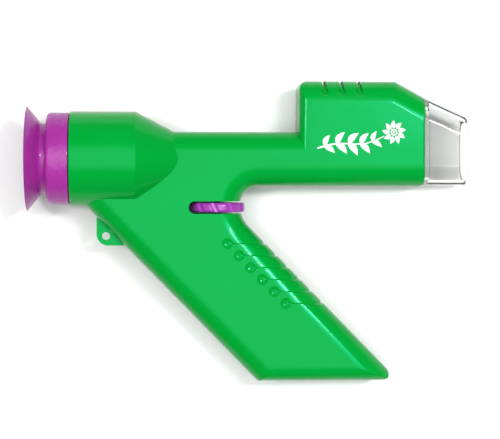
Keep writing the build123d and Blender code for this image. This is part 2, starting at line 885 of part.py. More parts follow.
with BuildPart() as eye_lens_ring:
    ring_inner = eye_lens_radius - 1.2
    ring_front = lens_x + face_depth(lens_rim, lens_sag, ring_inner) - 0.02
    add(
        turned(
            [
                (insert_x, ring_inner),
                (insert_x, lens_seat - 0.02),
                (ring_front, lens_seat - 0.02),
                (ring_front, ring_inner),
            ]
        )
    )
eye_lens_ring.part.label = "eye_lens_ring"

# ---------------------------------------------------------------- focus drive
across_wheel = Plane(origin=(wheel_x, wheel_y, 0), x_dir=(1, 0, 0), z_dir=(0, 1, 0))
with BuildPart(across_wheel) as focus_wheel:
    Cylinder(wheel_radius, wheel_thickness)
    fillet(focus_wheel.edges().filter_by(GeomType.CIRCLE), radius=wheel_edge)
    with PolarLocations(wheel_radius + wheel_groove_radius * 0.45, wheel_lobes):
        Cylinder(
            wheel_groove_radius,
            4 * wheel_thickness,
            rotation=(wheel_groove_slant, 0, 0),
            mode=Mode.SUBTRACT,
        )
    Cylinder(axle_radius, 2 * wheel_thickness, mode=Mode.SUBTRACT)
focus_wheel.part.label = "focus_wheel"

with BuildPart() as focus_axle:
    add(rod((wheel_x, axle_bottom + 0.3, 0), (0, 1, 0), axle_radius, axle_top - axle_bottom - 0.3))
    chamfer(focus_axle.edges().filter_by(GeomType.CIRCLE), 0.25)
focus_axle.part.label = "focus_axle"


def involute(angle):
    """Involute function: how far the tooth's flank has turned where its slope is angle."""
    return tan(angle) - angle


def tooth_angle(radius):
    """Half the angle that one tooth of the pinion takes up at a radius."""
    base_circle = pinion_radius * cos(radians(pressure_angle))
    at_radius = atan2(sqrt(max(radius**2 - base_circle**2, 0)), base_circle)
    half_tooth = (tooth_pitch / 2 - backlash) / 2 / pinion_radius
    return half_tooth + involute(radians(pressure_angle)) - involute(at_radius)


root_radius = pinion_radius - gear_module * (stub + 0.25)
gear_tip_radius = pinion_radius + gear_module * stub
pinion_plane = Plane(origin=(wheel_x, pinion_bottom, 0), x_dir=(0, 0, 1), z_dir=(0, 1, 0))
with BuildPart(pinion_plane) as pinion_gear:
    hub = pinion_bottom - well_top - washer_thickness - 0.15
    Cylinder(root_radius, pinion_face, align=(Align.CENTER, Align.CENTER, Align.MIN))
    with BuildSketch(pinion_plane):
        with PolarLocations(0, pinion_teeth):
            flank = (root_radius - 0.3, root_radius + 0.25, pinion_radius, gear_tip_radius)
            side = [(r * cos(tooth_angle(r)), r * sin(tooth_angle(r))) for r in flank]
            Polygon(*side, *[(x, -y) for x, y in reversed(side)], align=None)
    extrude(amount=pinion_face)
    Cylinder(root_radius, hub, align=(Align.CENTER, Align.CENTER, Align.MAX))
    Cylinder(axle_radius, reach / 4, mode=Mode.SUBTRACT)
pinion_gear.part.label = "pinion_gear"

with BuildPart() as friction_washer:
    washer_y = well_top + 0.05
    add(rod((wheel_x, washer_y, 0), (0, 1, 0), root_radius + 0.8, washer_thickness))
    hole = rod((wheel_x, washer_y - 1, 0), (0, 1, 0), axle_radius, washer_thickness + 2)
    add(hole, mode=Mode.SUBTRACT)
friction_washer.part.label = "friction_washer"

# ---------------------------------------------------------------- focus carriage
with BuildPart() as focus_tube:
    add(
        turned(
            [
                (tube_rear, tube_radius - tube_wall),
                (tube_rear, tube_radius),
                (tube_front, tube_radius),
                (tube_front, tube_radius - tube_wall),
            ]
        )
    )
focus_tube.part.label = "focus_tube"

objective_x = tube_front - 6.0
with BuildPart() as objective_ring:
    bore = tube_radius - tube_wall
    add(
        turned(
            [
                (objective_x - 1.2, objective_radius - 0.9),
                (objective_x - 1.2, bore),
                (tube_front, bore),
                (tube_front, tube_radius),
                (tube_front + 1.5, tube_radius),
                (tube_front + 1.5, objective_radius + 0.05),
                (objective_x, objective_radius + 0.05),
                (objective_x, objective_radius - 0.9),
            ]
        )
    )
objective_ring.part.label = "objective_ring"

with BuildPart() as objective_lens:
    add(lens(objective_x + 0.02, objective_radius, objective_thickness, 1.4))
objective_lens.part.label = "objective_lens"

with BuildPart() as focus_rack:
    rack_x = wheel_x - 0.5
    half_length = rack_teeth * tooth_pitch / 2
    rack_root = pinion_radius + gear_module * (stub + 0.25)
    rack_tip = pinion_radius - gear_module * stub
    rack_back = rack_root + 2.0
    add(
        block(
            (rack_x - half_length, rack_x + half_length),
            (pinion_bottom - 0.2, -tube_radius / 3),
            (rack_root, rack_back),
        )
    )
    tube_bed = rod((tube_rear, 0, 0), (1, 0, 0), tube_radius, tube_length)
    add(tube_bed, mode=Mode.SUBTRACT)
    with BuildSketch(Plane(origin=(wheel_x, pinion_bottom - 0.2, 0), x_dir=(1, 0, 0), z_dir=(0, -1, 0))):
        lean_in = tan(radians(pressure_angle))
        # a gap of the rack faces a tooth of the pinion
        for tooth in range(-rack_teeth // 2, rack_teeth // 2 + 1):
            middle = (tooth + 0.5) * tooth_pitch
            at_pitch = tooth_pitch / 4 - backlash / 4
            root_half = at_pitch + (rack_root - pinion_radius) * lean_in
            tip_half = at_pitch - (pinion_radius - rack_tip) * lean_in
            if abs(middle + wheel_x - rack_x) + root_half <= half_length + 0.01:
                Polygon(
                    (middle - root_half, rack_root + 0.1),
                    (middle + root_half, rack_root + 0.1),
                    (middle + tip_half, rack_tip),
                    (middle - tip_half, rack_tip),
                    align=None,
                )
    extrude(amount=-(pinion_face + 0.4))
focus_rack.part.label = "focus_rack"

# ---------------------------------------------------------------- clear tip
tip_rear = body_front + tip_gap
tip_angle = degrees(atan((tip_top_rear - tip_top_front) / (tip_front - body_front)))


def tip_form(x_range, inset):
    """The tip's outer form, moved in by inset."""
    top = tip_top_rear - inset / cos(radians(tip_angle))
    half = tip_half_thickness - inset
    return nose(x_range, half, tip_low - inset, top, tip_angle, tip_radius - inset)


with BuildPart() as clear_tip:
    add(tip_form((tip_rear, tip_front), 0))
    fillet(clear_tip.faces().sort_by(Axis.X).last.edges(), radius=0.5)
    corner = (tip_front, tip_top_rear - (tip_front - body_front) * tan(radians(tip_angle)))
    back_along_top = (-cos(radians(tip_angle)), sin(radians(tip_angle)))
    add(corner_trim(corner, back_along_top, (0, -1), tip_corner), mode=Mode.SUBTRACT)
    add(body_nose((body_front - spigot_length, tip_rear + 0.5), wall + 0.12))
    add(body_nose(bead_x, wall - bead_height))
    add(
        body_nose((body_front - spigot_length - 1, tip_rear + 2.2), wall + 0.12 + spigot_wall),
        mode=Mode.SUBTRACT,
    )
    add(tip_form((tip_rear + 2.0, tip_front + 1), tip_wall), mode=Mode.SUBTRACT)
clear_tip.part.label = "clear_tip"

# ---------------------------------------------------------------- lamp
lamp_way = (*led_direction, 0)


def along_lamp(distance, up=0.0):
    """Point on the lamp's axis, that far in front of its flange, moved up across the axis."""
    return (
        led_base[0] + distance * led_direction[0] - up * led_direction[1],
        led_base[1] + distance * led_direction[1] + up * led_direction[0],
        0,
    )


board_size = (8.6, 8.6, 1.0)
with BuildPart() as led_lamp:
    add(rod(along_lamp(0), lamp_way, led_radius + 0.4, 1.0))
    add(rod(along_lamp(0.5), lamp_way, led_radius, led_length - led_radius - 0.5))
    add(ball(along_lamp(led_length - led_radius), led_radius))
    for up in (-1.27, 1.27):
        add(rod(along_lamp(-5.0, up), lamp_way, 0.25, 5.2))
led_lamp.part.label = "led_lamp"

board_plane = Plane(origin=along_lamp(-4.0), x_dir=(0, 0, 1), z_dir=lamp_way)
with BuildPart(board_plane) as lamp_board:
    Box(*board_size)
    with Locations((0, 1.27), (0, -1.27)):
        Cylinder(0.25, 2 * board_size[2], mode=Mode.SUBTRACT)
lamp_board.part.label = "lamp_board"

resistor_plane = Plane(origin=along_lamp(-4.0 - board_size[2] / 2 - 0.95, -2.9), z_dir=(0, 0, 1))
with BuildPart(resistor_plane) as lamp_resistor:
    Cylinder(0.9, 3.6)
    fillet(lamp_resistor.edges(), radius=0.3)
    Cylinder(0.25, 6.4)
lamp_resistor.part.label = "lamp_resistor"

# ---------------------------------------------------------------- light switch
with BuildPart() as light_switch_body:
    can_middle = switch_x + switch_travel / 2
    can_x = (can_middle - switch_size[0] / 2, can_middle + switch_size[0] / 2)
    can_y = (switch_y - switch_size[1] / 2, switch_y + switch_size[1] / 2)
    add(block(can_x, can_y, (switch_top, switch_top + switch_size[2])))
    channel = (
        (switch_x - stem_size[0] / 2 - 0.2, switch_x + stem_size[0] / 2 + switch_travel + 0.2),
        (switch_y - stem_size[1] / 2 - 0.2, switch_y + stem_size[1] / 2 + 0.2),
        (switch_top - 1, switch_top + 1.4),
    )
    add(block(*channel), mode=Mode.SUBTRACT)
light_switch_body.part.label = "light_switch_body"

with BuildPart() as light_switch_slider:
    knob_x = (switch_x - knob_size[0] / 2, switch_x + knob_size[0] / 2)
    knob_y = (switch_y - knob_size[1] / 2, switch_y + knob_size[1] / 2)
    add(block(knob_x, knob_y, (knob_top, knob_top + knob_size[2])))
    for ridge in (-1, 0, 1):
        ridge_x = switch_x + ridge * 1.2
        groove_z = (knob_top - 1, knob_top + 0.35)
        add(block((ridge_x - 0.25, ridge_x + 0.25), knob_y, groove_z), mode=Mode.SUBTRACT)
    stem_x = (switch_x - stem_size[0] / 2, switch_x + stem_size[0] / 2)
    stem_y = (switch_y - stem_size[1] / 2, switch_y + stem_size[1] / 2)
    add(block(stem_x, stem_y, (knob_top + knob_size[2] - 0.2, switch_top + 1.2)))
light_switch_slider.part.label = "light_switch_slider"

# ---------------------------------------------------------------- cells and contacts
cell_nodes = []
for number in range(cells):
    with BuildPart() as button_cell:
        start = bay_rear + 0.5 + number * cell_thickness
        steps = (cell_thickness * 0.82, cell_thickness * 0.92)
        add(
            turned(
                [
                    (start, 0),
                    (start, cell_radius - 0.25),
                    (start + 0.25, cell_radius),
                    (start + steps[0], cell_radius),
                    (start + steps[1], cell_radius - 0.6),
                    (start + steps[1], cell_radius - 1.1),
                    (start + cell_thickness, cell_radius - 1.3),
                    (start + cell_thickness, 0),
                ]
            )
        )
    button_cell.part.position = (0, cell_y, 0)
    button_cell.part.label = f"button_cell_{number + 1}"
    cell_nodes.append(button_cell)

with BuildPart() as contact_plate:
    add(block((bay_rear, bay_rear + 0.45), (cell_y - 4.5, cell_y + 4.5), (-4.0, 4.5)))
contact_plate.part.label = "contact_plate"

leaf = 0.35
leaf_root = bay_front - 0.4
leaf_tip = bay_rear + 0.5 + cell_stack + 0.02
with BuildPart() as contact_spring:
    add(block((leaf_root, bay_front), (cell_y - 4.5, cell_y + 4.5), (-4.0, 4.5)))
    with BuildSketch():
        with BuildLine():
            Polyline(
                (leaf_root + 0.1, cell_y + 3.9),
                (leaf_tip, cell_y + 0.6),
                (leaf_tip, cell_y - 0.6),
                (leaf_root - 0.5, cell_y - 3.6),
                (leaf_root - 0.3, cell_y - 3.8),
                (leaf_tip + leaf, cell_y - 0.7),
                (leaf_tip + leaf, cell_y + 0.7),
                (leaf_root + 0.1, cell_y + 3.4),
                close=True,
            )
        make_face()
    extrude(amount=1.6, both=True)
contact_spring.part.label = "contact_spring"

# ---------------------------------------------------------------- wires


def wire(points, bend):
    """An insulated wire along straight runs joined by arcs of one bend radius."""
    with BuildPart() as made:
        with BuildLine() as path:
            FilletPolyline(*points, radius=bend)
        with BuildSketch(Plane(origin=path.line @ 0, z_dir=path.line % 0)):
            Circle(wire_radius)
        sweep()
    return made.part


wire_top = bay_roof + bay_wall + 3.4
with BuildPart() as positive_wire:
    wire_x = switch_x - 2.2
    add(
        wire(
            [
                (bay_rear - 0.7, bay_roof + bay_wall, -2.5),
                (bay_rear - 0.7, wire_top, -2.5),
                (wire_x, wire_top, -7.0),
                (wire_x, switch_y + switch_size[1] / 2, -7.0),
            ],
            1.6,
        )
    )
positive_wire.part.label = "positive_wire"

with BuildPart() as negative_wire:
    solder = along_lamp(-4.0 - board_size[2] / 2, 3.2)
    behind = along_lamp(-4.0 - board_size[2] / 2 - 3.6, 3.2)
    add(
        wire(
            [
                (bay_front + 0.6, bay_roof + bay_wall, 3.0),
                (bay_front + 0.6, wire_top - 0.4, 3.0),
                (behind[0] - 3.6, behind[1] + 2.0, 3.0),
                (behind[0], behind[1], 2.6),
                (solder[0], solder[1], 2.6),
            ],
            1.4,
        )
    )
negative_wire.part.label = "negative_wire"

# ---------------------------------------------------------------- battery door
with BuildPart() as battery_door:
    plate_y = (hinge_y, door_high)
    plate_z = (-half_thickness, -half_thickness + door_thickness)
    add(block((door_rear, door_front), plate_y, plate_z))
    free_corners = battery_door.edges().filter_by(Axis.Z).group_by(Axis.Y)[-1]
    fillet(free_corners, radius=1.2)
    hinge_start = (door_rear, hinge_y, hinge_z)
    add(rod(hinge_start, (1, 0, 0), hinge_radius, door_front - door_rear))
    pin_start = (door_rear - 1.1, hinge_y, hinge_z)
    add(rod(pin_start, (1, 0, 0), 0.48, door_front - door_rear + 2.2))
    for rib in range(5):
        rib_x = bay_rear + 3.0 + 3.4 * rib
        rib_z = (-half_thickness - 1, -half_thickness + 0.35)
        rib_y = (cell_y - 4.0, cell_y + 4.0)
        add(block((rib_x, rib_x + 1.2), rib_y, rib_z), mode=Mode.SUBTRACT)
    clear = (-half_thickness - 1, -half_thickness + 2)
    add(post(door_screw_x, cell_y, 0.95, clear), mode=Mode.SUBTRACT)
    head_well = (-half_thickness - 1, door_screw_seat)
    add(post(door_screw_x, cell_y, 1.95, head_well), mode=Mode.SUBTRACT)
battery_door.part.label = "battery_door"

with BuildPart() as battery_door_screw:
    head_z = (-half_thickness + 0.02, door_screw_seat)
    add(post(door_screw_x, cell_y, 1.8, head_z))
    add(post(door_screw_x, cell_y, door_screw_radius, (door_screw_seat, door_screw_tip)))
    for size in ((2.4, 0.6), (0.6, 2.4)):
        drive = block(
            (door_screw_x - size[0] / 2, door_screw_x + size[0] / 2),
            (cell_y - size[1] / 2, cell_y + size[1] / 2),
            (head_z[0] - 1, head_z[0] + 0.35),
        )
        add(drive, mode=Mode.SUBTRACT)
battery_door_screw.part.label = "battery_door_screw"

# ---------------------------------------------------------------- laying it on the table
# It lies on three points: the eyecup's rim, the front lower corner of the left flat and the
# lower front corner of the grip's flat.
nose_point = Vector(
    body_front - nose_radius, -(barrel_half_height - front_radius), -half_thickness
)
flat_base = -grip_drop + base_radius
toe_point = Vector(grip_x(front_radius, flat_base), flat_base, -half_thickness)
up = Vector(0, 0, 1)
for _ in range(8):
    across_rim = Vector(0, up.Y, up.Z).normalized() * -cup_rim_radius
    rim_point = Vector(cup_rim_x + lip / 2, across_rim.Y, across_rim.Z)
    up = (toe_point - rim_point).cross(nose_point - rim_point).normalized()
table = Plane(origin=nose_point, x_dir=Vector(1, 0, 0) - up * up.X, z_dir=up)

pieces = [
    right_shell,
    left_shell,
    lanyard_lug,
    shell_screws,
    eyecup,
    eyepiece_insert,
    eye_lens,
    eye_lens_ring,
    focus_wheel,
    focus_axle,
    pinion_gear,
    friction_washer,
    focus_tube,
    objective_ring,
    objective_lens,
    focus_rack,
    clear_tip,
    led_lamp,
    lamp_board,
    lamp_resistor,
    light_switch_body,
    light_switch_slider,
    *cell_nodes,
    contact_plate,
    contact_spring,
    positive_wire,
    negative_wire,
    battery_door,
    battery_door_screw,
]
skin = Compound([table.to_local_coords(piece.part) for piece in (right_shell, left_shell, eyecup, clear_tip)])
box = skin.bounding_box()
centre = table.from_local_coords(Vector(box.center().X, box.center().Y, box.min.Z))
table = Plane(origin=centre, x_dir=table.x_dir, z_dir=table.z_dir)
for piece in pieces:
    placed = table.to_local_coords(piece.part)
    placed.label = piece.part.label
    export_step(placed, f"parts/{placed.label}.step")
print("table", table.origin, table.x_dir, table.z_dir, "size", box.size)
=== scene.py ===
"""Hand-held toy microscope lying on a pale table: finishes, soft eyecup and printed sprig."""
import json
import math

import bpy
import numpy as np
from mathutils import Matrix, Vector


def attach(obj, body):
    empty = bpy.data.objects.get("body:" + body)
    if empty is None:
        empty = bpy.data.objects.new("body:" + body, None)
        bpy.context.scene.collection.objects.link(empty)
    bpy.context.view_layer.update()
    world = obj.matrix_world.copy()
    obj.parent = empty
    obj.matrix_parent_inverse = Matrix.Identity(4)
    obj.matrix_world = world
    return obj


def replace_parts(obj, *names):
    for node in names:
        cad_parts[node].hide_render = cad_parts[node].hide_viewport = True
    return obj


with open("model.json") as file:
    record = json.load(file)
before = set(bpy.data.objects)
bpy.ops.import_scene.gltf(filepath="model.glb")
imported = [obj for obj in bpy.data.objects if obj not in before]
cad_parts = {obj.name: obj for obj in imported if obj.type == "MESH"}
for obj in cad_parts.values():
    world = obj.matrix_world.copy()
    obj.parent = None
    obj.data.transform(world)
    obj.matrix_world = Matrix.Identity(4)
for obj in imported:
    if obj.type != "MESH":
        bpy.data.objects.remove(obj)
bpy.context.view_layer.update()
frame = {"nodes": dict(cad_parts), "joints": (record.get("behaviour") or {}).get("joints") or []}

MM = 0.001

# ------------------------------------------------------------ the microscope's own axes
joints = {joint["name"]: joint for joint in frame["joints"]}
along = np.array(joints["focus_slide"]["axis"])
across = np.array(joints["focus_turn"]["axis"])
outward = np.cross(along, across)
wheel_centre = np.array(joints["focus_turn"]["pos_m"])
WHEEL_X, WHEEL_Y = 62.7, -20.6  # the wheel's centre, from the rear end of the optical axis, mm


def placed(x, y, z):
    """Points in mm along the barrel, across it and out of its right side, as frame points in m.

    Each point is the wheel's centre plus its three distances from there along the three axes."""
    x, y, z = np.broadcast_arrays(x, y, z)
    steps = np.stack([x - WHEEL_X, y - WHEEL_Y, z], axis=-1) * MM
    return wheel_centre + steps @ np.stack([along, across, outward])


# ------------------------------------------------------------ finishes
class Finish:
    """A moulded, metal or clear finish: one shader, with its node helpers."""

    def __init__(self, name, colour, **sockets):
        self.material = bpy.data.materials.new(name)
        self.material.use_nodes = True
        self.tree = self.material.node_tree
        self.shader = self.tree.nodes["Principled BSDF"]
        self.material.diffuse_color = (*colour, 1.0)
        self.shader.inputs["Base Color"].default_value = (*colour, 1.0)
        for socket, value in sockets.items():
            self.shader.inputs[socket.replace("_", " ")].default_value = value
        self.place = self.tree.nodes.new("ShaderNodeTexCoord").outputs["Object"]

    def node(self, kind, **settings):
        made = self.tree.nodes.new(kind)
        for key, value in settings.items():
            if key in made.inputs:
                made.inputs[key].default_value = value
            else:
                setattr(made, key, value)
        return made

    def link(self, a, b):
        self.tree.links.new(a, b)

    def stretched(self, scale, turn=(0.0, 0.0, 0.0)):
        """Object coordinates, turned and stretched."""
        mapping = self.node("ShaderNodeMapping")
        mapping.inputs["Rotation"].default_value = turn
        mapping.inputs["Scale"].default_value = scale
        self.link(self.place, mapping.inputs["Vector"])
        return mapping.outputs["Vector"]

    def noise(self, scale, detail=2.0, roughness=0.5, at=None, distortion=0.0):
        made = self.node("ShaderNodeTexNoise")
        made.inputs["Scale"].default_value = scale
        made.inputs["Detail"].default_value = detail
        made.inputs["Roughness"].default_value = roughness
        made.inputs["Distortion"].default_value = distortion
        self.link(self.place if at is None else at, made.inputs["Vector"])
        return made.outputs["Fac"]

    def spread(self, source, low, high, from_low=0.3, from_high=0.7):
        """Maps a noise value from one range to another."""
        made = self.node("ShaderNodeMapRange")
        made.inputs["From Min"].default_value = from_low
        made.inputs["From Max"].default_value = from_high
        made.inputs["To Min"].default_value = low
        made.inputs["To Max"].default_value = high
        self.link(source, made.inputs["Value"])
        return made.outputs["Result"]

    def mixed(self, factor, first, second):
        """Two colours mixed by a value."""
        made = self.node("ShaderNodeMix", data_type="RGBA")
        self.link(factor, made.inputs["Factor"])
        for index, colour in ((6, first), (7, second)):
            if isinstance(colour, tuple):
                made.inputs[index].default_value = (*colour, 1.0)
            else:
                self.link(colour, made.inputs[index])
        return made.outputs[2]

    def colour(self, output):
        self.link(output, self.shader.inputs["Base Color"])

    def roughness(self, output):
        self.link(output, self.shader.inputs["Roughness"])

    def relief(self, source, height, strength=1.0):
        """Bump of that height in mm, on top of any bump already there."""
        made = self.node("ShaderNodeBump")
        made.inputs["Strength"].default_value = strength
        made.inputs["Distance"].default_value = height * MM
        self.link(source, made.inputs["Height"])
        taken = self.shader.inputs["Normal"]
        if taken.is_linked:
            self.link(taken.links[0].from_socket, made.inputs["Normal"])
        self.link(made.outputs["Normal"], taken)


def moulded(name, colour, deep, gloss=(0.16, 0.26), peel=0.012, **sockets):
    """Moulded plastic: slight drift of tint, uneven gloss, orange peel and hair-fine marks."""
    made = Finish(name, colour, **sockets)
    made.colour(made.mixed(made.spread(made.noise(38, 3), 0.0, 1.0), colour, deep))
    marks = made.noise(1.0, 2, 0.6, at=made.stretched((260, 4200, 900), (0.2, 0.5, 0.7)))
    made.roughness(made.spread(made.noise(160, 3, 0.6), gloss[0], gloss[1]))
    made.relief(made.noise(700, 2), peel)
    made.relief(made.spread(marks, 0.0, 1.0, 0.66, 0.74), 0.0015)
    return made


green = moulded(
    "green_abs", (0.0, 0.275, 0.026), (0.0, 0.26, 0.023), IOR=1.32,
    Specular_Tint=(0.05, 1.0, 0.72, 1.0), Coat_Weight=0.06, Coat_Roughness=0.06,
)
purple_wheel = moulded("purple_wheel_plastic", (0.30, 0.035, 0.36), (0.26, 0.03, 0.31))
black = moulded("black_moulding", (0.018, 0.018, 0.019), (0.024, 0.024, 0.025), gloss=(0.34, 0.5))
acetal = moulded("natural_acetal", (0.78, 0.77, 0.71), (0.74, 0.72, 0.65), gloss=(0.3, 0.42))


def rubber():
    """Soft purple rubber: a faint wet skin over fine creases that run round the cup."""
    made = Finish("purple_rubber", (0.28, 0.02, 0.24), IOR=1.3, Specular_Tint=(1.0, 0.7, 1.0, 1.0))
    made.shader.inputs["Coat Weight"].default_value = 0.3
    made.shader.inputs["Coat Roughness"].default_value = 0.08
    drift = made.spread(made.noise(60, 4), 0, 1)
    made.colour(made.mixed(drift, (0.30, 0.022, 0.26), (0.26, 0.018, 0.225)))
    made.roughness(made.spread(made.noise(300, 4, 0.65), 0.24, 0.46))
    creases = made.noise(1.0, 4, 0.6, at=made.stretched((900, 260, 260)), distortion=0.6)
    made.relief(creases, 0.45, 0.9)
    made.relief(made.noise(1500, 2), 0.01)
    return made


def clear(name, colour, roughness, bend=1.49):
    """Clear moulded acrylic with faint flow lines."""
    made = Finish(name, colour, Transmission_Weight=1.0, IOR=bend)
    made.roughness(made.spread(made.noise(120, 3), roughness, roughness * 2.5))
    flow = made.noise(1.0, 3, 0.5, at=made.stretched((90, 240, 240)), distortion=0.4)
    made.relief(flow, 0.03, 0.6)
    return made


def steel(name, colour, low, high, grain):
    """Plated steel with fine drawn or turned marks."""
    made = Finish(name, colour, Metallic=1.0)
    made.roughness(made.spread(made.noise(1.0, 4, 0.7, at=made.stretched(grain)), low, high))
    made.colour(made.mixed(made.noise(420, 3), colour, tuple(0.82 * part for part in colour)))
    made.relief(made.noise(1.0, 3, 0.6, at=made.stretched(grain)), 0.004)
    return made


def felt_finish():
    """Pressed felt: a mat of short fibres."""
    made = Finish("pressed_felt", (0.09, 0.09, 0.095), Roughness=0.95, Sheen_Weight=0.4)
    fibres = made.noise(2600, 6, 0.75, distortion=1.5)
    made.colour(made.mixed(fibres, (0.06, 0.06, 0.065), (0.17, 0.17, 0.175)))
    made.relief(fibres, 0.08)
    return made


def board_finish():
    """Glass-fibre circuit board: green lacquer over a faint weave."""
    made = Finish("circuit_board", (0.03, 0.16, 0.06), Roughness=0.35)
    weave = made.node("ShaderNodeTexBrick")
    weave.inputs["Scale"].default_value = 900.0
    made.link(made.place, weave.inputs["Vector"])
    threads = made.spread(weave.outputs["Fac"], 0.0, 1.0, 0.0, 1.0)
    made.colour(made.mixed(threads, (0.03, 0.16, 0.06), (0.05, 0.22, 0.09)))
    made.relief(weave.outputs["Fac"], 0.01)
    return made


def insulation(name, colour, deep):
    """Soft wire covering, slightly chalky."""
    made = Finish(name, colour)
    made.colour(made.mixed(made.noise(500, 3), colour, deep))
    made.roughness(made.spread(made.noise(900, 3), 0.38, 0.55))
    made.relief(made.noise(1400, 2), 0.01)
    return made


def lacquer():
    """Resistor body: tan lacquer with slight runs."""
    made = Finish("resistor_lacquer", (0.6, 0.43, 0.25))
    made.colour(made.mixed(made.noise(700, 3), (0.62, 0.46, 0.27), (0.52, 0.36, 0.19)))
    made.roughness(made.spread(made.noise(900, 2), 0.25, 0.4))
    made.relief(made.noise(800, 2), 0.02)
    return made


def ink():
    """White pad-printed ink: slightly thin in places."""
    made = Finish("white_ink", (0.86, 0.88, 0.86))
    cover = made.spread(made.noise(900, 4, 0.6), 0, 1, 0.25, 0.6)
    made.colour(made.mixed(cover, (0.72, 0.83, 0.75), (0.9, 0.91, 0.9)))
    made.roughness(made.spread(made.noise(500, 3), 0.4, 0.55))
    made.relief(made.noise(1600, 3), 0.006)
    return made


soft_purple = rubber()
clear_tip = clear("clear_acrylic", (0.90, 0.91, 0.90), 0.03, bend=1.22)
lens_clear = clear("lens_acrylic", (0.97, 0.98, 0.985), 0.005)
screw_steel = steel("zinc_plated_steel", (0.62, 0.62, 0.63), 0.22, 0.38, (1800, 300, 300))
cell_steel = steel("nickel_plated_steel", (0.74, 0.74, 0.75), 0.12, 0.24, (250, 1600, 250))
contact_steel = steel("spring_contact_steel", (0.66, 0.65, 0.61), 0.2, 0.35, (1500, 250, 250))
felt = felt_finish()
board = board_finish()
tan = lacquer()
red = insulation("red_insulation", (0.55, 0.02, 0.018), (0.42, 0.014, 0.012))
dark = insulation("black_insulation", (0.022, 0.022, 0.023), (0.035, 0.035, 0.036))
white_ink = ink()

worn_by = {
    green: ("right_shell", "left_shell", "lanyard_lug", "battery_door"),
    purple_wheel: ("focus_wheel",),
    black: (
        "focus_axle", "eyepiece_insert", "eye_lens_ring", "light_switch_body",
        "light_switch_slider", "focus_tube", "focus_rack", "objective_ring",
    ),
    acetal: ("pinion_gear",),
    felt: ("friction_washer",),
    screw_steel: ("shell_screws", "battery_door_screw"),
    cell_steel: ("button_cell_1", "button_cell_2", "button_cell_3"),
    contact_steel: ("contact_plate", "contact_spring"),
    board: ("lamp_board",),
    tan: ("lamp_resistor",),
    red: ("positive_wire",),
    dark: ("negative_wire",),
    clear_tip: ("clear_tip",),
    lens_clear: ("eye_lens", "objective_lens", "led_lamp"),
    soft_purple: ("eyecup",),
}
for finish, names in worn_by.items():
    for name in names:
        if name not in frame["nodes"]:
            continue
        slots = frame["nodes"][name].material_slots
        for slot in slots:
            slot.material = finish.material


# ------------------------------------------------------------ new pieces
def grid_faces(rows, columns, closed_rows=False, closed_columns=False, flip=False):
    """Quads of a grid of points numbered row by row.

    A closed direction joins its last line to its first."""
    r = np.arange(rows if closed_rows else rows - 1)
    c = np.arange(columns if closed_columns else columns - 1)
    r, c = np.meshgrid(r, c, indexing="ij")
    down, right = (r + 1) % rows, (c + 1) % columns
    corners = [r * columns + c, down * columns + c, down * columns + right, r * columns + right]
    quads = np.stack(corners, axis=-1).reshape(-1, 4)
    return quads[:, ::-1] if flip else quads


def new_piece(name, points, faces, finish, body):
    """A mesh piece with its place in its points, its finish and the body it rides on."""
    mesh = bpy.data.meshes.new(name)
    mesh.from_pydata(points.reshape(-1, 3).tolist(), [], faces.tolist())
    mesh.polygons.foreach_set("use_smooth", np.ones(len(mesh.polygons), bool))
    mesh.materials.append(finish.material)
    mesh.update()
    piece = bpy.data.objects.new(name, mesh)
    bpy.context.scene.collection.objects.link(piece)
    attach(piece, body)
    return piece


NEAREST = 0.04  # two points of an outline lie no closer than this, mm


def rounded(corners, radii, steps=7):
    """A closed outline with its corners rounded.

    Each corner is replaced by points on a parabola whose ends lie its radius back along the
    two sides, so the line leaves one side and joins the other without a kink."""
    corners = np.asarray(corners, float)
    before, after = np.roll(corners, 1, axis=0), np.roll(corners, -1, axis=0)
    reach = np.asarray(radii, float)[:, None]
    back, on = before - corners, after - corners
    start = corners + back / np.linalg.norm(back, axis=1)[:, None] * reach
    end = corners + on / np.linalg.norm(on, axis=1)[:, None] * reach
    t = np.linspace(0, 1, steps)[None, :, None]
    bends = (1 - t) ** 2 * start[:, None] + 2 * t * (1 - t) * corners[:, None] + t**2 * end[:, None]
    return bends.reshape(-1, 2)


def evenly(outline, step):
    """The closed outline again, with points at most step apart."""
    closed = np.vstack([outline, outline[:1]])
    lengths = np.linalg.norm(np.diff(closed, axis=0), axis=1)
    travelled = np.concatenate([[0], np.cumsum(lengths)])
    keep = travelled[:-1]
    extra = np.arange(0, travelled[-1], step)
    at = np.unique(np.round(np.concatenate([keep, extra]), 4))
    at = at[np.concatenate([[True], np.diff(at) > NEAREST])]
    return np.stack([np.interp(at, travelled, closed[:, side]) for side in (0, 1)], axis=1)


# ------------------------------------------------------------ eyecup
# All in mm: x forward from the body's rear edge, radii out from the optical axis.
RIM_X, RIM_RADIUS, RIM_INSIDE = -18.2, 22.25, 20.75
NECK_REAR, NECK_FRONT, NECK_RADIUS = -12.2, -9.75, 14.9
COLLAR_FRONT, COLLAR_RADIUS, COLLAR_INSIDE = -0.35, 19.6, 18.35
STEP_X, BORE = -8.2, 13.45
BOWL_X, BOWL_RADIUS = -13.2, 13.7
COLLAR_MIDDLE, COLLAR_SPREAD = -5.0, 4.2  # where the collar's creases lie
FLARE_MIDDLE, FLARE_SPREAD = 18.5, 2.6  # radius where the flare's dents lie
CUP_TURNS = 240
CUP_STEP = 0.55


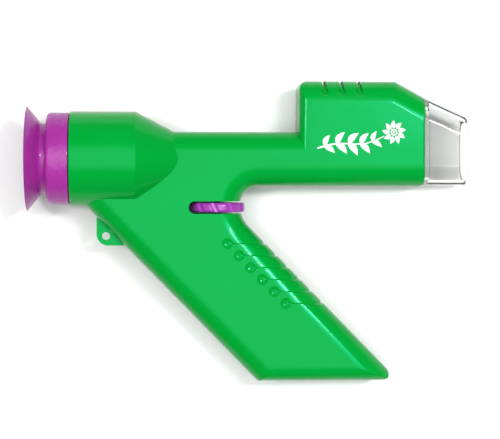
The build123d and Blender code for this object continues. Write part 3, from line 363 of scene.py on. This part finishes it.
def eyecup():
    """Soft eyecup: its wall's outline carried round the optical axis.

    The outline is the section of the flared cup, its neck and its collar. Round the axis each
    outer point moves in or out by a few hundredths of a mm, a sum of waves in angle and length,
    so that the rubber has slow dents and fine creases; the moves fade to nothing at the lips."""
    section = rounded(
        [
            (RIM_X, RIM_INSIDE),
            (RIM_X, RIM_RADIUS),
            (NECK_REAR, NECK_RADIUS),
            (NECK_FRONT, NECK_RADIUS),
            (NECK_FRONT, COLLAR_RADIUS),
            (COLLAR_FRONT, COLLAR_RADIUS),
            (COLLAR_FRONT, COLLAR_INSIDE),
            (STEP_X, COLLAR_INSIDE),
            (STEP_X, BORE),
            (BOWL_X + 0.3, BORE),
            (BOWL_X, BOWL_RADIUS),
        ],
        [0.4, 0.22, 0.9, 0.9, 2.2, 0.35, 0.3, 0.5, 0.4, 0.2, 0.4],
    )
    section = evenly(section, CUP_STEP)
    angle = np.linspace(0, 2 * math.pi, CUP_TURNS, endpoint=False)[None, :]
    x, radius = section[:, :1], section[:, 1:]
    slow = 0.10 * np.sin(3 * angle + 0.4 * x) + 0.07 * np.sin(7 * angle - 0.9 * x + 1.0)
    fine = 0.035 * np.sin(31 * angle + 2.6 * x) * np.sin(11 * angle - 1.7 * x)
    fine = fine + 0.03 * np.sin(47 * angle - 2.1 * x + 2.0 * np.sin(5 * angle))
    collar = np.exp(-(((x - COLLAR_MIDDLE) / COLLAR_SPREAD) ** 4))
    collar = collar * ((radius > 19.0) & (x > -9.0))
    flare = np.exp(-(((radius - FLARE_MIDDLE) / FLARE_SPREAD) ** 2))
    flare = flare * ((radius > 15.0) & (x < -12.4))
    reach = radius - np.abs(slow * 0.5 + fine) * collar + flare * 0.06 * np.sin(5 * angle + 0.6)
    points = placed(x, reach * np.cos(angle), reach * np.sin(angle))
    faces = grid_faces(len(section), CUP_TURNS, closed_rows=True, closed_columns=True)
    made = new_piece("soft_eyecup", points, faces, soft_purple, "body")
    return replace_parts(made, "eyecup")


eyecup()


# ------------------------------------------------------------ printed sprig
FLAT_Z = 10.9  # the right flat, out from the parting plane, mm
INK = 0.03  # how far the ink stands over the flat, mm
STEM_START, STEM_END = 104.5, 133.0
STEM_WIDTH = 0.75
LEAVES = ((4, 5.4), (11, 6.2), (18, 6.4), (25, 5.8), (32, 4.8))  # point along the stem, length
LEAF_TURN = 0.85  # away from the stem, radians
LEAF_SHAPE = 0.42  # width over length
DAISY = (137.2, 11.4)
PETALS, PETAL_ROOT, PETAL_LENGTH, PETAL_WIDTH = 9, 1.75, 3.4, 1.9


def printed(name, patches):
    """Thin ink patches on the right flat.

    A patch is a grid of points across the flat; its top lies a few hundredths of a mm over the
    plastic and its border turns down to just under the plastic's face."""
    all_points, all_faces, count = [], [], 0
    for x, y in patches:
        rows, columns = x.shape
        border_x = np.pad(x, 1, mode="edge")
        border_y = np.pad(y, 1, mode="edge")
        height = np.full(border_x.shape, FLAT_Z - INK)
        height[1:-1, 1:-1] = FLAT_Z + INK
        points = placed(border_x, border_y, height).reshape(-1, 3)
        faces = grid_faces(rows + 2, columns + 2)
        a, b, c = points[faces[len(faces) // 2][:3]]
        if np.cross(b - a, c - a) @ outward < 0:
            faces = faces[:, ::-1]
        all_points.append(points)
        all_faces.append(faces + count)
        count += len(points)
    points, faces = np.vstack(all_points), np.vstack(all_faces)
    return new_piece(name, points, faces, white_ink, "body")


def leaf(root_x, root_y, aim, length, width, gap=0.16):
    """The two halves of a leaf, with a clear midrib.

    Along the leaf the half width is half of width times the sine of half a turn, pushed towards
    the root; across it each half runs from the midrib's edge to the leaf's edge, and the whole
    leaf bends a little."""
    t = np.linspace(0, 1, 22)[:, None]
    s = np.linspace(0, 1, 5)[None, :]
    half = width / 2 * np.sin(math.pi * t**0.75)
    bend = 0.10 * length * np.sin(math.pi * t)
    rib = gap / 2 * (1 - 0.6 * t)
    halves = []
    for side in (-1, 1):
        out = side * (rib + np.clip(half - rib, 0.02, None) * s)
        on, up = t * length + 0 * s, bend + out
        x = root_x + on * math.cos(aim) - up * math.sin(aim)
        y = root_y + on * math.sin(aim) + up * math.cos(aim)
        halves.append((x, y))
    return halves


def stalk(xs, ys, width):
    """A tapering line of ink along the points.

    Each point steps out sideways by half the width there, across the line's own direction."""
    direction = np.stack([np.gradient(xs), np.gradient(ys)])
    direction = direction / np.linalg.norm(direction, axis=0)
    half = width / 2 * np.linspace(1.0, 0.45, len(xs))
    aside = half[:, None] * np.linspace(-1, 1, 3)[None, :]
    x = xs[:, None] - direction[1][:, None] * aside
    y = ys[:, None] + direction[0][:, None] * aside
    return x, y


def ring(x, y, radius, width):
    """A circle of ink: angles round it, and radii from half the width inside to half outside."""
    angle = np.linspace(0.0, 2 * math.pi, 49)[:, None]
    reach = radius + width * np.linspace(-0.5, 0.5, 3)[None, :]
    return x + reach * np.cos(angle), y + reach * np.sin(angle)


def sprig():
    """A leafy stem with leaves in pairs, and a daisy at its tip."""
    t = np.linspace(0, 1, 40)
    stem_x = STEM_START + (STEM_END - STEM_START) * t
    stem_y = 4.6 + 5.2 * t**1.5 + 1.1 * np.sin(2 * math.pi * t)
    patches = [stalk(stem_x, stem_y, STEM_WIDTH)]
    heading = np.arctan2(np.gradient(stem_y), np.gradient(stem_x))
    for at, size in LEAVES:
        for turn in (-LEAF_TURN, LEAF_TURN):
            patches += leaf(stem_x[at], stem_y[at], heading[at] + turn, size, size * LEAF_SHAPE)
    centre_x, centre_y = DAISY
    for petal in range(PETALS):
        aim = 2 * math.pi * petal / PETALS + 0.2
        root_x = centre_x + PETAL_ROOT * math.cos(aim)
        root_y = centre_y + PETAL_ROOT * math.sin(aim)
        patches += leaf(root_x, root_y, aim, PETAL_LENGTH, PETAL_WIDTH, gap=0.1)
    patches.append(ring(centre_x, centre_y, 1.15, 0.55))
    patches.append(ring(centre_x, centre_y, 0.22, 0.44))
    return printed("printed_sprig", patches)


sprig()


# ------------------------------------------------------------ table, light and camera
TABLE_HALF = 3.0
LENS, SENSOR = 109.1, 36.0
CAMERA_PLACE = (0.0014, 0.0048, 0.667)


def table():
    """A large pale table top."""
    made = Finish("pale_table", (0.78, 0.78, 0.78), Roughness=0.6, Specular_IOR_Level=0.1)
    made.roughness(made.spread(made.noise(30, 2), 0.55, 0.7))
    corners = TABLE_HALF * np.array([(-1, -1, 0), (1, -1, 0), (1, 1, 0), (-1, 1, 0)], float)
    mesh = bpy.data.meshes.new("table_top")
    mesh.from_pydata(corners.tolist(), [], [(0, 1, 2, 3)])
    mesh.materials.append(made.material)
    piece = bpy.data.objects.new("table_top", mesh)
    bpy.context.scene.collection.objects.link(piece)


table()


def lamp(name, place, size, power, aim=(0.0, 0.0, 0.01)):
    """An oblong soft light that faces the object."""
    data = bpy.data.lights.new(name, "AREA")
    data.shape = "RECTANGLE"
    data.size, data.size_y = size
    data.energy = power
    made = bpy.data.objects.new(name, data)
    bpy.context.scene.collection.objects.link(made)
    made.location = place
    made.rotation_euler = (Vector(aim) - Vector(place)).to_track_quat("-Z", "Y").to_euler()


lamp("key_light", (0.60, 0.24, 1.25), (0.09, 0.45), 10.5)
lamp("edge_light", (-0.55, 0.10, 1.25), (0.08, 0.3), 4.5)


def surroundings():
    """White studio walls, and a broad soft glow straight above that fades out to its edges."""
    world = bpy.data.worlds.new("studio")
    bpy.context.scene.world = world
    world.use_nodes = True
    tree = world.node_tree
    background = tree.nodes["Background"]
    where = tree.nodes.new("ShaderNodeTexCoord")
    parts = tree.nodes.new("ShaderNodeSeparateXYZ")
    ramp = tree.nodes.new("ShaderNodeMapRange")
    tree.links.new(where.outputs["Generated"], parts.inputs["Vector"])
    tree.links.new(parts.outputs["Z"], ramp.inputs["Value"])
    ramp.inputs["From Min"].default_value = 0.0
    ramp.inputs["From Max"].default_value = 0.9
    ramp.inputs["To Min"].default_value = 0.2
    ramp.inputs["To Max"].default_value = 0.45
    glow = tree.nodes.new("ShaderNodeMapRange")
    glow.interpolation_type = "SMOOTHSTEP"
    tree.links.new(parts.outputs["Z"], glow.inputs["Value"])
    glow.inputs["From Min"].default_value = 0.82
    glow.inputs["From Max"].default_value = 0.985
    glow.inputs["To Max"].default_value = 3.3
    total = tree.nodes.new("ShaderNodeMath")
    tree.links.new(ramp.outputs["Result"], total.inputs[0])
    tree.links.new(glow.outputs["Result"], total.inputs[1])
    tree.links.new(total.outputs["Value"], background.inputs["Strength"])
    background.inputs["Color"].default_value = (1.0, 1.0, 1.0, 1.0)


surroundings()

scene = bpy.context.scene
scene.view_settings.view_transform = "Standard"
lens = bpy.data.cameras.new("camera")
lens.lens, lens.sensor_width = LENS, SENSOR
lens.clip_start, lens.clip_end = 0.05, 10.0
camera = bpy.data.objects.new("camera", lens)
scene.collection.objects.link(camera)
camera.location = CAMERA_PLACE
camera.rotation_euler = (0.0, 0.0, 0.0)
scene.camera = camera
